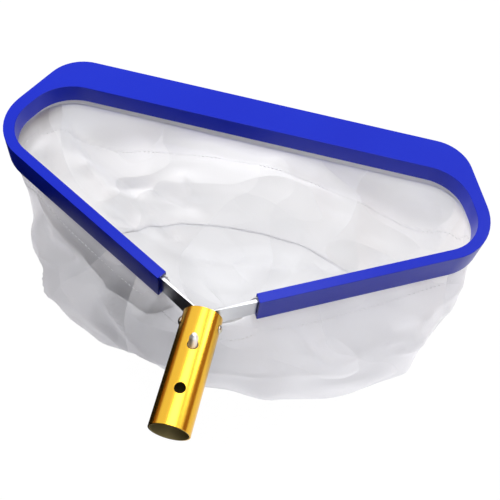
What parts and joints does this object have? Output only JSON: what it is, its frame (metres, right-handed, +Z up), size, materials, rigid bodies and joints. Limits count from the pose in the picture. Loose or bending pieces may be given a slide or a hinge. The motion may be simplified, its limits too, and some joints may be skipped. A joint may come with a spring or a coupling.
{
  "type": "leaf skimmer net",
  "caption": "Leaf skimmer net with a blue scoop-edged rim, a deep white mesh bag and a short gold tube that locks onto a pole.",
  "frame": {"origin": "centre of the handle tube's open end, where the pole slides on", "axes": "+Y runs along the handle tube to the rim's leading edge, +X is across the mouth to the right, +Z is up out of the mouth and the bag hangs towards -Z"},
  "size_m": [0.4354, 0.321, 0.2015],
  "materials": {
    "blue_plastic": "gloss",
    "aluminium_bar": "satin",
    "hem_cloth": "woven",
    "mesh_cloth": "fine mesh",
    "gold_tube": "gold anodised",
    "rivet_metal": "satin",
    "spring_steel": "satin",
    "button_metal": "polished"
  },
  "bodies": {
    "frame": {"rim": "blue_plastic", "hoop_bar": "aluminium_bar", "hem_sleeve": "hem_cloth", "bag_front": "mesh_cloth", "bag_back": "mesh_cloth", "bag_left": "mesh_cloth", "bag_right": "mesh_cloth", "bag_floor": "mesh_cloth", "handle_tube": "gold_tube", "rivet_left": "rivet_metal", "rivet_right": "rivet_metal", "clip_spring": "spring_steel"},
    "top_button": {"button_top": "button_metal"},
    "bottom_button": {"button_bottom": "button_metal"}
  },
  "joints": [
    {"name": "press_top", "type": "slide", "parent": "frame", "child": "top_button", "axis": [0, 0.3746, 0.9272], "range_m": [-0.01, 0], "stiffness_N_per_m": 900, "deforming": ["clip_spring"]},
    {"name": "press_bottom", "type": "slide", "parent": "frame", "child": "bottom_button", "axis": [0, 0.3746, -0.9272], "range_m": [-0.01, 0], "stiffness_N_per_m": 900, "deforming": ["clip_spring"]}
  ]
}
